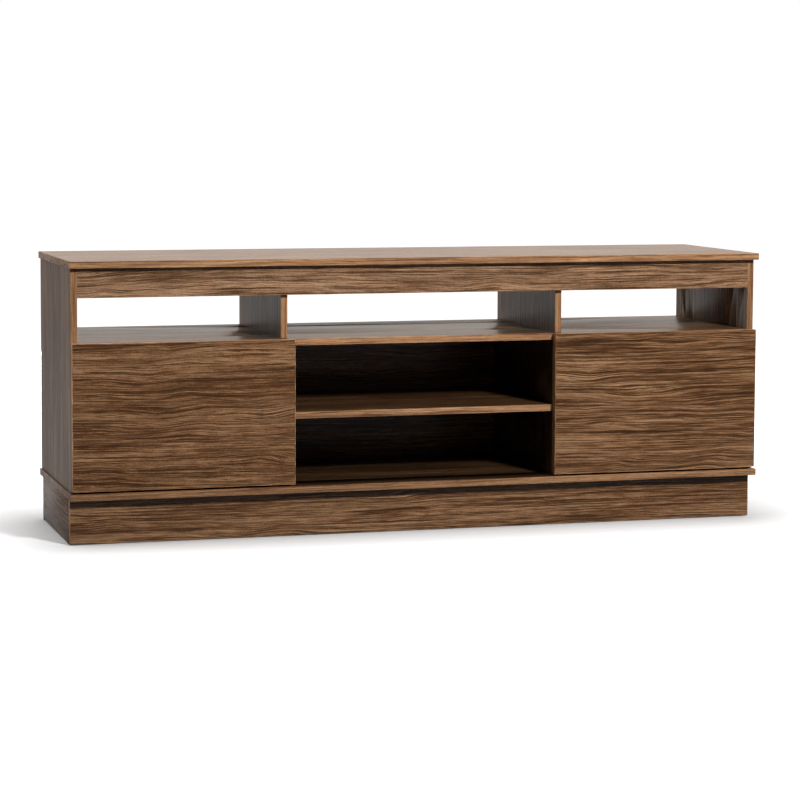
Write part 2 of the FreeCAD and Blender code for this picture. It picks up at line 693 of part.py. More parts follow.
def draw_circle(sketch, label, x, y, radius):
    """A circle placed from the sketch's origin."""
    circle = sketch.addGeometry(Part.Circle(FreeCAD.Vector(30, 30), FreeCAD.Vector(0, 0, 1), 5))
    constraints = (
        ("across", Sketcher.Constraint("DistanceX", -1, 1, circle, 3, 30), x),
        ("up", Sketcher.Constraint("DistanceY", -1, 1, circle, 3, 30), y),
        ("radius", Sketcher.Constraint("Radius", circle, 5), radius),
    )
    for ending, constraint, text in constraints:
        number = sketch.addConstraint(constraint)
        sketch.renameConstraint(number, f"{label}_{ending}")
        bind(sketch, f"Constraints.{label}_{ending}", text)


def pocket_circles(body, name, circles, depth):
    """Round holes into the door's back face."""
    sketch = sketch_on(body, name + "_sketch", "XZ_Plane")
    for index, (x, y, radius) in enumerate(circles):
        draw_circle(sketch, f"hole_{index}", x, y, radius)
    doc.recompute()
    before = body.Tip.Shape.Volume
    pocket = body.newObject("PartDesign::Pocket", name)
    pocket.Profile = sketch
    bind(pocket, "Length", depth)
    pocket.Reversed = True
    doc.recompute()
    if pocket.Shape.Volume >= before:
        raise RuntimeError(name + " cuts nothing")


def from_door_edge(side, inset):
    """Distance along the door's sketch, whose origin is the core's left lower corner."""
    core_width = "(door_width - 2 * band_thickness)"
    near = f"({inset} - band_thickness)"
    return near if side == "left" else f"{core_width} - {near}"


def door_panel(side):
    """Panel core with two hinge cup bores and their screw holes in its back."""
    body = doc.addObject("PartDesign::Body", side + "_door_body")
    corner = "-side_outer + band_thickness" if side == "left" else "bay_half + band_thickness"
    for axis, text in zip("xyz", (corner, "door_back", "door_bottom + band_thickness")):
        bind(body, f"Placement.Base.{axis}", text)
    outline = sketch_on(body, side + "_door_outline", "XZ_Plane")
    draw_rectangle(outline, "door_width - 2 * band_thickness", "door_height - 2 * band_thickness")
    doc.recompute()
    pad = body.newObject("PartDesign::Pad", side + "_door_pad")
    pad.Profile = outline
    bind(pad, "Length", "door_thickness")
    doc.recompute()
    levels = ("hinge_end_distance - band_thickness", "door_height - hinge_end_distance - band_thickness")
    cup_x = from_door_edge(side, "cup_inset")
    cups = [(cup_x, level, "cup_radius + fastener_clearance") for level in levels]
    pocket_circles(body, side + "_cup_bores", cups, "cup_depth + end_clearance")
    screw_places = [f"{level} + {step} * cup_screw_spacing / 2" for level in levels for step in ("-1", "1")]
    heads = [(cup_x, place, "screw_head_radius + fastener_clearance") for place in screw_places]
    pocket_circles(body, side + "_cup_screw_heads", heads, "screw_head_height - flange_thickness")
    shanks = [(cup_x, place, "screw_radius + fastener_clearance") for place in screw_places]
    pocket_circles(body, side + "_cup_screw_holes", shanks, "screw_in_board + end_clearance")
    node(side + "_door_panel", body)


def door_bands(side):
    """Strips round the door's four edges."""
    depth = ("door_front", "door_back")
    strips = [
        block("door_outer_band", span(side, "side_outer - band_thickness", "side_outer"), depth,
              ("door_bottom", "deck_top")),
        block("door_inner_band", span(side, "bay_half", "bay_half + band_thickness"), depth,
              ("door_bottom", "deck_top")),
    ]
    between = span(side, "bay_half + band_thickness", "side_outer - band_thickness")
    strips.append(block("door_lower_band", between, depth, ("door_bottom", "door_bottom + band_thickness")))
    strips.append(block("door_upper_band", between, depth, ("deck_top - band_thickness", "deck_top")))
    group(side + "_door_edge_bands", strips)


def hinge_cup(side, level):
    """Pressed steel cup with two ears for the pin, an open slot for the arm, and a screwed flange."""
    centre_x = out(side, "cup_out")
    pivot_x = out(side, "pivot_out")
    mouth = (centre_x, "door_back", level)
    outside = rod("cup_outside", "cup_radius", mouth, "-y", "cup_depth")
    hollow = rod("cup_hollow", "cup_radius - cup_wall", mouth, "-y", "cup_depth - cup_floor")
    flange = block("cup_flange", (f"{centre_x} - flange_width / 2", f"{centre_x} + flange_width / 2"),
                   ("door_back", "door_back + flange_thickness"),
                   (f"{level} - flange_height / 2", f"{level} + flange_height / 2"))
    opening = rod("flange_opening", "cup_radius - cup_wall", mouth, "+y", "flange_thickness")
    slot = block("arm_slot", span(side, "pivot_out", "pivot_out + cup_radius"),
                 ("pivot_line", "door_back + flange_thickness"),
                 (f"{level} - arm_width / 2 - ear_clearance", f"{level} + arm_width / 2 + ear_clearance"))
    shell = cut("cup_shell", fused("cup_blank", [outside, flange]), [hollow, opening, slot])
    ears = []
    for step in ("-1", "1"):
        near = f"{level} + {step} * (arm_width / 2 + ear_clearance)"
        far = f"{level} + {step} * (arm_width / 2 + ear_clearance + ear_thickness)"
        ear = block("ear_blank", span(side, "pivot_out - hub_radius", "cup_out + cup_radius - 2 * cup_wall"),
                    ("door_back - cup_depth + cup_floor / 2", "pivot_line + hub_radius"),
                    (near, far) if step == "1" else (far, near))
        ears.append(common("cup_ear", ear, rod("cup_round", "cup_radius", mouth, "-y", "cup_depth")))
    pin_start = (pivot_x, "pivot_line", f"{level} - arm_width / 2 - ear_clearance - ear_thickness")
    pin_length = "arm_width + 2 * ear_clearance + 2 * ear_thickness"
    pin = rod("hinge_pin", "pin_radius", pin_start, "+z", pin_length)
    holes = [rod("ear_hole", "pin_radius", pin_start, "+z", pin_length)]
    screws = []
    for step in ("-1", "1"):
        head = (centre_x, "door_back + flange_thickness", f"{level} + {step} * cup_screw_spacing / 2")
        solid, hole = screw("cup_screw", head, "-y", "flange_thickness + screw_in_board")
        screws.append(solid)
        holes.append(hole)
    return cut("hinge_cup", fused("cup_with_ears", [shell] + ears), holes), pin, screws


for side in SIDES:
    door_panel(side)
    door_bands(side)
    cups, pins, cup_screws = [], [], []
    for level in ("lower_hinge", "upper_hinge"):
        cup, pin, screws = hinge_cup(side, level)
        cups.append(cup)
        pins.append(pin)
        cup_screws.extend(screws)
    group(side + "_hinge_cups", cups)
    group(side + "_hinge_pins", pins)
    group(side + "_cup_screws", cup_screws)
    node(side + "_strike_disc", rod("strike_disc", "strike_radius", (out(side, "latch_middle"), "door_back",
                                                                     "latch_level"), "+y", "strike_thickness"))
    node(side + "_latch_plunger", plungers[side])


# ---- groups of like pieces ----

group("floor_glides", glides)
group("plinth_blocks", blocks)
group("plinth_block_screws", block_screws)
group("cam_locks", cams)
group("cam_bolts", cam_bolts)
group("wood_dowels", dowels)
group("divider_screws", divider_screws)
group("back_panel_nails", nails)
group("shelf_pins", shelf_pins)
group("hinge_arms", hinge_arms)
group("hinge_mounting_plates", hinge_plates)
group("hinge_plate_screws", plate_screws)
group("hinge_arm_screws", arm_screws)
group("latch_housings", latch_housings)
group("latch_screws", latch_screws)


# ---- checks and files ----

doc.recompute()
for item in doc.Objects:
    if "Invalid" in item.State or "Error" in item.State:
        raise RuntimeError(f"{item.Name} failed: {item.State}")
for piece in nodes:
    if piece.Shape.isNull() or not piece.Shape.isValid() or not piece.Shape.Solids:
        raise RuntimeError(piece.Label + " has no valid solid")

os.makedirs("parts", exist_ok=True)
for piece in nodes:
    piece.Shape.exportStep(f"parts/{piece.Label}.step")
print(len(nodes), "pieces written")
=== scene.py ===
"""A walnut-laminate TV stand with two push-open cupboards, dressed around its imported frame."""

import json
import math

import bmesh
import bpy
from bpy.props import FloatProperty, FloatVectorProperty, PointerProperty, StringProperty
from mathutils import Matrix, Vector

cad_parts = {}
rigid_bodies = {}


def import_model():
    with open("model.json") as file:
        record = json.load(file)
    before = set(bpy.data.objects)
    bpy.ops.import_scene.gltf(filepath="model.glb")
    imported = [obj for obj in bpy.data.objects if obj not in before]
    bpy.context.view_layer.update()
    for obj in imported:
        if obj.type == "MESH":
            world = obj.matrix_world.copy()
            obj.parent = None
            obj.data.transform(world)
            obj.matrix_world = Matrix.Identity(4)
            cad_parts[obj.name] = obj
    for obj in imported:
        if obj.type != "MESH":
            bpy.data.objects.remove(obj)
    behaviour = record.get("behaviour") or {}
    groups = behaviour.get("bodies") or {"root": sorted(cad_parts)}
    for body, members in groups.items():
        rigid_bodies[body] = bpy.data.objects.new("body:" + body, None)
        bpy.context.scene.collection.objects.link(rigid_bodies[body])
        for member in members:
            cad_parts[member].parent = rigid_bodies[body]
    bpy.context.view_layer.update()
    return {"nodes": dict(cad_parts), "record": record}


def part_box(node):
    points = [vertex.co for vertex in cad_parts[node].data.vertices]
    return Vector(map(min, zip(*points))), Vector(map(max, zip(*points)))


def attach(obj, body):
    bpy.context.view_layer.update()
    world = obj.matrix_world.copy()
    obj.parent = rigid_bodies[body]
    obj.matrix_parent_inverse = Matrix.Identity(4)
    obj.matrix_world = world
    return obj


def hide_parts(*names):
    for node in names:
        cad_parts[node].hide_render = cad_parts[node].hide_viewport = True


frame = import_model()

bl_info = {
    "name": "TV Stand With Doors",
    "version": (1, 0, 0),
    "blender": (4, 5, 0),
    "location": "3D View > Sidebar > TV Stand",
    "description": "Builds a low laminated TV stand with open niches and two hinged cupboards",
    "category": "Object",
}

MM = 0.001
MERGE_DISTANCE = 0.001 * MM
ROUND_TOLERANCE = 0.05 * MM  # two sides of a solid that differ by less are one diameter
SHARP_ANGLE = math.radians(35)  # a sharper edge is rounded, a flatter one is shaded smooth
BODY_OF = {node: body for body, nodes in frame["record"]["behaviour"]["bodies"].items() for node in nodes}
SLOT_OF = {part["node"]: part["material_slot"] for part in frame["record"]["subparts"]}


# ---------------------------------------------------------------- settings

class WalnutSettings(bpy.types.PropertyGroup):
    """Colours and figure of the printed walnut laminate."""
    heart: StringProperty(name="Heart streaks", description="Darkest lines of the print", default="#36200E")
    dark: StringProperty(name="Late wood", description="Dark bands of the print", default="#57381E")
    middle: StringProperty(name="Ground", description="Main colour of the print", default="#7A5639")
    light: StringProperty(name="Early wood", description="Light bands of the print", default="#8F6B4B")
    pale: StringProperty(name="Sap streaks", description="Lightest lines of the print", default="#A78464")
    roughness: FloatProperty(name="Roughness", description="Satin melamine surface", default=0.30,
                             min=0.05, max=1.0)


class EdgeSettings(bpy.types.PropertyGroup):
    """How far the edges of each kind of piece are rounded."""
    board: FloatProperty(name="Boards", description="Trimmed edge of a laminated board", default=0.25 * MM,
                         min=0.0, unit="LENGTH")
    band: FloatProperty(name="Edge bands", description="Scraped edge of an ironed-on band",
                        default=0.3 * MM, min=0.0, unit="LENGTH")
    fastener: FloatProperty(name="Fasteners", description="Edge of a screw head or a cam",
                            default=0.2 * MM, min=0.0, unit="LENGTH")


class StageSettings(bpy.types.PropertyGroup):
    """The camera."""
    location: FloatVectorProperty(name="Camera place", description="Where the camera stands",
                                  default=(-1.6682, -5.5864, 0.9220), subtype="TRANSLATION", unit="LENGTH")
    heading: FloatProperty(name="Heading", description="Turn to the right of straight ahead",
                           default=math.radians(16.64), subtype="ANGLE")
    tilt: FloatProperty(name="Tilt", description="Tilt below the horizontal", default=math.radians(4.49),
                        subtype="ANGLE")
    roll: FloatProperty(name="Roll", description="Turn about the line of sight", default=math.radians(0.23),
                        subtype="ANGLE")
    lens: FloatProperty(name="Focal length", description="Lens on a 36 mm wide sensor, in mm",
                        default=114.07, unit="CAMERA")
    shift: FloatProperty(name="Vertical shift", description="Lens shift as a share of the frame",
                         default=-0.102)


# ---------------------------------------------------------------- small helpers

def linear(code):
    """Linear colour of an sRGB hex value."""
    channels = [int(code[index:index + 2], 16) / 255 for index in (1, 3, 5)]
    return [c / 12.92 if c <= 0.04045 else ((c + 0.055) / 1.055) ** 2.4 for c in channels] + [1.0]


def add_node(tree, kind, inputs=None, **settings):
    """Add one node: its settings, then its input values or links, by socket name or number."""
    item = tree.nodes.new(kind)
    for name, value in settings.items():
        setattr(item, name, value)
    for name, value in (inputs or {}).items():
        if isinstance(value, bpy.types.NodeSocket):
            tree.links.new(value, item.inputs[name])
        else:
            item.inputs[name].default_value = value
    return item


def new_material(name):
    material = bpy.data.materials.new(name)
    material.use_nodes = True
    material.node_tree.nodes.clear()
    return material


def finish_material(tree, shader):
    add_node(tree, "ShaderNodeOutputMaterial", {"Surface": shader.outputs[0]})


def set_ramp(ramp, stops):
    """Colour stops as (place, hex)."""
    elements = ramp.color_ramp.elements
    while len(elements) > 1:
        elements.remove(elements[-1])
    elements[0].position, elements[0].color = stops[0][0], linear(stops[0][1])
    for place, code in stops[1:]:
        elements.new(place).color = linear(code)


# ---------------------------------------------------------------- wood patterns

AXES = {"X": 0, "Y": 1, "Z": 2}
SEED_STEP = (1.37, 0.71, 2.93)  # takes each seed to a stretch of the noise of its own
DEPTH_SCALE = 0.02  # per mm: the print hardly changes through a board's thickness
SKIN_IOR = 1.5  # melamine resin
EDGE_LEAN = 0.3  # a face that leans less than this towards the board's thickness is one of its edges


def grain_place(tree, along, across):
    """Object coordinates in millimetres, turned so X runs along the grain and Y across it."""
    place = add_node(tree, "ShaderNodeTexCoord").outputs["Object"]
    split = add_node(tree, "ShaderNodeSeparateXYZ", {0: place})
    through = next(axis for axis in "XYZ" if axis not in (along, across))
    turned = add_node(tree, "ShaderNodeCombineXYZ", {
        "X": split.outputs[along], "Y": split.outputs[across], "Z": split.outputs[through]})
    return add_node(tree, "ShaderNodeVectorMath", {0: turned.outputs[0], "Scale": 1 / MM},
                    operation="SCALE").outputs[0]


def streaks(tree, place, length, width, seed, detail=2.0, roughness=0.5):
    """Noise drawn out along the grain: length and width of one streak in mm."""
    stretched = add_node(tree, "ShaderNodeMapping", {
        "Vector": place, "Location": [seed * step for step in SEED_STEP],
        "Scale": (1 / length, 1 / width, DEPTH_SCALE)})
    return add_node(tree, "ShaderNodeTexNoise", {
        "Vector": stretched.outputs[0], "Scale": 1.0, "Detail": detail, "Roughness": roughness}).outputs[0]


def pushed(tree, place, noise, distance):
    """The place, moved across the grain by up to half the distance either way."""
    step = add_node(tree, "ShaderNodeMath", {0: noise, 1: distance, 2: -distance / 2},
                    operation="MULTIPLY_ADD")
    offset = add_node(tree, "ShaderNodeCombineXYZ", {"Y": step.outputs[0]})
    return add_node(tree, "ShaderNodeVectorMath", {0: place, 1: offset.outputs[0]},
                    operation="ADD").outputs[0]


def stretches(tree, place, length, width, seed, detail, low, high):
    """Where something shows: 0 in some stretches of that length and width in mm, and 1 in others."""
    noise = streaks(tree, place, length, width, seed, detail)
    return add_node(tree, "ShaderNodeMapRange", {
        "Value": noise, "From Min": low, "From Max": high}).outputs[0]


def growth_lines(tree, place, spacing, sharpness, shown):
    """Thin lines, 1 at their middle, where long streaks pass a half, faded out where they aren't shown."""
    length, width, seed = spacing
    height = streaks(tree, place, length, width, seed, 2.0, 0.65)
    folded = add_node(tree, "ShaderNodeMath", {0: height, 1: 0.5}, operation="SUBTRACT")
    folded = add_node(tree, "ShaderNodeMath", {0: folded.outputs[0]}, operation="ABSOLUTE")
    peak = add_node(tree, "ShaderNodeMath", {0: folded.outputs[0], 1: -sharpness, 2: 1.0},
                    operation="MULTIPLY_ADD", use_clamp=True)
    line = add_node(tree, "ShaderNodeMath", {0: peak.outputs[0], 1: 2.0}, operation="POWER")
    return add_node(tree, "ShaderNodeMath", {0: line.outputs[0], 1: shown}, operation="MULTIPLY").outputs[0]


def summed(tree, start, parts):
    """The start value plus each value times its weight."""
    total = start
    for value, weight in parts:
        total = add_node(tree, "ShaderNodeMath", {0: value, 1: weight, 2: total},
                         operation="MULTIPLY_ADD").outputs[0]
    return total


def walnut(name, along, across, seed, lift=1.0, wave=1.0, stops=None, roughness=None):
    """Melamine board printed with walnut: fine straight fibre, dark growth lines that bend round a few
    swellings, and short open pores. Lengths and widths of its streaks are in mm.

    The print is pressed under a clear satin skin, so the wood looks flat and even close up, and the skin
    pales it with sky light where it is seen at a low angle. Fibre and pores are drawn up to twice
    as wide as real ones so that they show. Lift makes a board lighter or darker; for some boards it paints
    light and shade, standing in for the light that falls on them."""
    settings = bpy.context.scene.tv_stand_walnut
    material = new_material(name)
    tree = material.node_tree
    place = grain_place(tree, along, across)

    # the figure: a slow drift 40 mm wide, waves of 42 mm that show only here and there, and a ripple
    figure = pushed(tree, place, streaks(tree, place, 900, 300, seed, 0.0), 40 * wave)
    waves = streaks(tree, place, 210, 52, seed + 3, 1.0)
    where = stretches(tree, place, 300, 70, seed + 5, 0.0, 0.48, 0.66)
    waves = add_node(tree, "ShaderNodeMath", {0: waves, 1: 0.5}, operation="SUBTRACT").outputs[0]
    waves = add_node(tree, "ShaderNodeMath", {0: waves, 1: where}, operation="MULTIPLY").outputs[0]
    waves = add_node(tree, "ShaderNodeMath", {0: waves, 1: 0.5}, operation="ADD").outputs[0]
    figure = pushed(tree, figure, waves, 42 * wave)
    figure = pushed(tree, figure, streaks(tree, figure, 120, 30, seed + 7, 1.0), 1.6)

    # growth lines, dark and thin, strong in some stretches and gone in others
    shown = stretches(tree, figure, 200, 11, seed + 13, 1.0, 0.40, 0.60)
    wide = growth_lines(tree, figure, (1100, 9, seed + 11), 18.0, shown)
    shown = stretches(tree, figure, 110, 7, seed + 19, 1.0, 0.36, 0.60)
    thin = growth_lines(tree, figure, (900, 4.6, seed + 17), 11.0, shown)

    # tone: bands a few mm wide, fibre and hairs drawn coarser than real ones, flecks, and a slow cloud
    bands = streaks(tree, figure, 800, 4.0, seed + 23, 1.0, 0.6)
    fibre = streaks(tree, figure, 260, 1.55, seed + 29, 1.0, 0.6)
    hairs = streaks(tree, figure, 40, 1.1, seed + 31, 1.0, 0.6)
    fleck = streaks(tree, figure, 3.2, 1.5, seed + 37, 1.0, 0.6)
    cloud = streaks(tree, figure, 520, 42, seed + 37, 1.0)
    tone = summed(tree, -1.02, [(bands, 0.22), (fibre, 1.00), (hairs, 0.94), (fleck, 0.40),
                                (cloud, 0.52), (wide, -0.46), (thin, -0.40)])
    ramp = add_node(tree, "ShaderNodeValToRGB", {0: tone})
    set_ramp(ramp, stops or [(0.16, settings.heart), (0.34, settings.dark), (0.51, settings.middle),
                             (0.62, settings.light), (0.78, settings.pale)])

    # pores: dashes a few mm long, drawn wider than real ones so that they show
    pores = stretches(tree, figure, 13, 1.0, seed + 41, 2.0, 0.44, 0.30)
    shade = add_node(tree, "ShaderNodeMapRange", {
        "Value": pores, "To Min": lift, "To Max": 0.55 * lift}).outputs[0]
    colour = add_node(tree, "ShaderNodeVectorMath", {0: ramp.outputs[0], "Scale": shade}, operation="SCALE")

    gloss = roughness or settings.roughness
    rough = add_node(tree, "ShaderNodeMapRange", {
        "Value": tone, "From Min": 0.2, "From Max": 0.8, "To Min": gloss + 0.05, "To Max": gloss - 0.03})
    relief = summed(tree, 0.0, [(hairs, 0.5), (pores, -1.0), (wide, -0.4)])
    bump = add_node(tree, "ShaderNodeBump", {"Height": relief, "Strength": 0.25, "Distance": 0.05 * MM})
    shader = add_node(tree, "ShaderNodeBsdfPrincipled", {
        "Base Color": colour.outputs[0], "Roughness": rough.outputs[0], "Normal": bump.outputs[0],
        "IOR": SKIN_IOR})
    finish_material(tree, shader)
    return material


def plain_finish(name, code, roughness, metallic=0.0, ior=1.46, grit=0.4, wear=0.06, mottle=0.0):
    """Moulded plastic, plated metal or pressed board: a fine grit in gloss and bump, and a faint cloud in
    tone 18 mm wide. Grit is its size in mm, wear how much the gloss varies, and mottle how much the grit
    darkens and lightens the colour."""
    material = new_material(name)
    tree = material.node_tree
    place = add_node(tree, "ShaderNodeTexCoord").outputs["Object"]
    grain = add_node(tree, "ShaderNodeTexNoise", {"Vector": place, "Scale": 1 / (grit * MM), "Detail": 2.0})
    cloud = add_node(tree, "ShaderNodeTexNoise", {"Vector": place, "Scale": 1 / (18 * MM), "Detail": 2.0})
    rough = add_node(tree, "ShaderNodeMapRange", {
        "Value": grain.outputs[0], "From Min": 0.3, "From Max": 0.7,
        "To Min": max(roughness - wear, 0.02), "To Max": roughness + wear})
    flecks = summed(tree, -2.5 * mottle, [(cloud.outputs[0], 1.0), (grain.outputs[0], 5 * mottle)])
    shade = add_node(tree, "ShaderNodeMapRange", {"Value": flecks, "To Min": 0.86, "To Max": 1.08})
    colour = add_node(tree, "ShaderNodeVectorMath", {0: linear(code)[:3], "Scale": shade.outputs[0]},
                      operation="SCALE")
    bump = add_node(tree, "ShaderNodeBump", {
        "Height": grain.outputs[0], "Strength": 0.3, "Distance": 0.02 * MM})
    values = {"Base Color": colour.outputs[0], "Roughness": rough.outputs[0], "Normal": bump.outputs[0],
              "Metallic": metallic}
    if not metallic:
        values["IOR"] = ior
    finish_material(tree, add_node(tree, "ShaderNodeBsdfPrincipled", values))
    return material


def chipboard():
    """Raw sawn chipboard: pale flakes 1 to 4 mm long in darker glue and dust, so a cut edge looks rough,
    dry and speckled beside the smooth print."""
    material = new_material("raw_chipboard")
    tree = material.node_tree
    place = add_node(tree, "ShaderNodeTexCoord").outputs["Object"]
    flakes = add_node(tree, "ShaderNodeTexVoronoi", {"Vector": place, "Scale": 1 / (2.6 * MM)})
    dust = add_node(tree, "ShaderNodeTexNoise", {"Vector": place, "Scale": 1 / (0.8 * MM), "Detail": 3.0})
    mixed = add_node(tree, "ShaderNodeMath", {0: dust.outputs[0], 1: 0.6, 2: flakes.outputs["Distance"]},
                     operation="MULTIPLY_ADD")
    ramp = add_node(tree, "ShaderNodeValToRGB", {0: mixed.outputs[0]})
    set_ramp(ramp, [(0.2, "#C9A878"), (0.5, "#A8855A"), (0.75, "#7E6040"), (0.95, "#5A4330")])
    bump = add_node(tree, "ShaderNodeBump", {
        "Height": mixed.outputs[0], "Strength": 0.6, "Distance": 0.3 * MM})
    shader = add_node(tree, "ShaderNodeBsdfPrincipled", {
        "Base Color": ramp.outputs[0], "Roughness": 0.85, "Normal": bump.outputs[0]})
    finish_material(tree, shader)
    return material


# ---------------------------------------------------------------- modelling helpers

def deselect():
    bpy.ops.object.select_all(action="DESELECT")


def make_active(piece):
    deselect()
    piece.select_set(True)
    bpy.context.view_layer.objects.active = piece


def solid_of(face):
    """The faces of one solid: those reached from a face over edges that just two faces share."""
    found = {face}
    front = [face]
    while front:
        shared = [edge for edge in front.pop().edges if len(edge.link_faces) == 2]
        near = {other for edge in shared for other in edge.link_faces}
        front.extend(near - found)
        found |= near
    return found


def touches_another(solid):
    """Whether a solid shares a corner point with faces that aren't its own."""
    return any(other not in solid
               for face in solid for corner in face.verts for other in corner.link_faces)


def part_touching_solids(piece):
    """In edit mode, give solids of one node that touch at a corner or an edge their own corner points."""
    bpy.ops.mesh.select_mode(type="FACE")
    shape = bmesh.from_edit_mesh(piece.data)
    solids = []
    done = set()
    for face in shape.faces:
        if face not in done:
            solids.append(solid_of(face))
            done |= solids[-1]
    shape.faces.index_update()
    groups = [sorted(face.index for face in solid) for solid in solids if touches_another(solid)]
    marks = shape.faces.layers.int.new("solid")
    shape.faces.ensure_lookup_table()
    for number, group in enumerate(groups, 1):
        for index in group:
            shape.faces[index][marks] = number
    for number in range(1, len(groups)):
        bpy.ops.mesh.select_all(action="DESELECT")
        shape = bmesh.from_edit_mesh(piece.data)
        marks = shape.faces.layers.int["solid"]
        for face in shape.faces:
            if face[marks] == number:
                face.select_set(True)
        bpy.ops.mesh.split()
    shape = bmesh.from_edit_mesh(piece.data)
    shape.faces.layers.int.remove(shape.faces.layers.int["solid"])


def copy_of(node, name):
    """A merged copy of a frame node, with each of its solids closed."""
    piece = bpy.data.objects.new(name, frame["nodes"][node].data.copy())
    bpy.context.scene.collection.objects.link(piece)
    make_active(piece)
    bpy.ops.object.mode_set(mode="EDIT")
    bpy.ops.mesh.select_all(action="SELECT")
    bpy.ops.mesh.remove_doubles(threshold=MERGE_DISTANCE)
    part_touching_solids(piece)
    bpy.ops.object.mode_set(mode="OBJECT")
    return piece


def soften(piece, width, segments=2):
    """Round every sharp edge."""
    make_active(piece)
    bevel = piece.modifiers.new("soft_edges", "BEVEL")
    bevel.width = width
    bevel.segments = segments
    bevel.limit_method = "ANGLE"
    bevel.angle_limit = SHARP_ANGLE
    bevel.use_clamp_overlap = False
    bpy.ops.object.modifier_apply(modifier=bevel.name)
    bpy.ops.object.shade_smooth_by_angle(angle=SHARP_ANGLE)


def settle(piece, node, materials):
    """Give a finished piece its materials and body, in place of its frame node."""
    piece.data.materials.clear()
    for material in materials:
        piece.data.materials.append(material)
    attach(piece, BODY_OF[node])
    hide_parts(node)


def paint_faces(piece, number, test):
    """Give the material of that number to the faces that pass the test."""
    for face in piece.data.polygons:
        if test(face):
            face.material_index = number


def laminated_board(node, material, thickness):
    """A board with laminate on its two broad faces and raw chipboard on its edges and in its holes."""
    piece = copy_of(node, node + "_board")
    soften(piece, bpy.context.scene.tv_stand_edges.board, segments=1)
    settle(piece, node, [material, bpy.data.materials["raw_chipboard"]])
    paint_faces(piece, 1, lambda face: abs(face.normal[AXES[thickness]]) < EDGE_LEAN)


def rounded_copy(node, name, width, material, segments=3):
    """A frame node's shape with its edges rounded."""
    piece = copy_of(node, name)
    soften(piece, width, segments)
    settle(piece, node, [material])
    return piece


def loose_parts(piece):
    """The corner points of each separate solid of a piece."""
    shape = bmesh.new()
    shape.from_mesh(piece.data)
    parts = []
    done = set()
    for start in shape.verts:
        if start in done:
            continue
        done.add(start)
        front = [start]
        part = []
        while front:
            corner = front.pop()
            part.append(corner.co.copy())
            near = [edge.other_vert(corner) for edge in corner.link_edges]
            fresh = [other for other in near if other not in done]
            done.update(fresh)
            front.extend(fresh)
        parts.append(part)
    shape.free()
    return parts


def round_head(part):
    """Centre of the outer face of a round fastener's head, the way it faces, and its radius.

    A screw lies along its longest side with its head at the wider end. A cam is wider than it is deep,
    and its slot shows on the face of the board that it sits in."""
    low = Vector(min(point[axis] for point in part) for axis in range(3))
    high = Vector(max(point[axis] for point in part) for axis in range(3))
    size = high - low
    centre = (low + high) / 2
    spread = sorted(range(3), key=lambda axis: size[axis])
    is_cam = size[spread[2]] - size[spread[1]] < ROUND_TOLERANCE
    axis = spread[0] if is_cam else spread[2]
    outward = Vector((0, 0, 0))
    if is_cam:
        # cams open to the middle of the stand, to its back, or down
        outward[axis] = (-math.copysign(1, centre.x), 1, -1)[axis]
    else:
        def reach(end):
            """How far the outermost tenth of the length at one end reaches from the axis, squared."""
            ring = [point for point in part if abs(point[axis] - end) < 0.1 * size[axis]]
            return max((Vector(point) - centre).length_squared - (point[axis] - centre[axis]) ** 2
                       for point in ring)
        outward[axis] = 1 if reach(high[axis]) > reach(low[axis]) else -1
    face = centre.copy()
    face[axis] = high[axis] if outward[axis] > 0 else low[axis]
    radius = max(size[other] for other in range(3) if other != axis) / 2
    return face, outward, radius


def cut_cross_slots(piece, reach=0.55, width=0.17, depth=0.45, tighten=math.radians(20)):
    """Cut a cross slot in each fastener's head; sizes are shares of the head's radius.

    One bar of the cross is cut at a time, turned by where the screwdriver left it."""
    heads = [round_head(part) for part in loose_parts(piece)]
    for turn in (0.0, math.pi / 2):
        deselect()
        for face, outward, radius in heads:
            aim = outward.to_track_quat("Z", "Y")
            spin = aim @ Matrix.Rotation(turn + tighten, 3, "Z").to_quaternion()
            bpy.ops.mesh.primitive_cube_add(size=1, location=face, rotation=spin.to_euler(),
                                            scale=[2 * share * radius for share in (reach, width, depth)])
            bpy.context.object.name = "slot_cutter"
        cutters = [item for item in bpy.context.scene.objects if item.name.startswith("slot_cutter")]
        make_active(cutters[0])
        for item in cutters:
            item.select_set(True)
        if len(cutters) > 1:
            bpy.ops.object.join()
        cutter = bpy.context.object
        make_active(piece)
        cut = piece.modifiers.new("slots", "BOOLEAN")
        cut.operation = "DIFFERENCE"
        cut.solver = "MANIFOLD"
        cut.object = cutter
        bpy.ops.object.modifier_apply(modifier=cut.name)
        bpy.data.objects.remove(cutter, do_unlink=True)
    if not piece.data.polygons:
        raise RuntimeError("the slots left nothing of " + piece.name)
    make_active(piece)
    bpy.ops.object.shade_smooth_by_angle(angle=SHARP_ANGLE)


# ---------------------------------------------------------------- operators

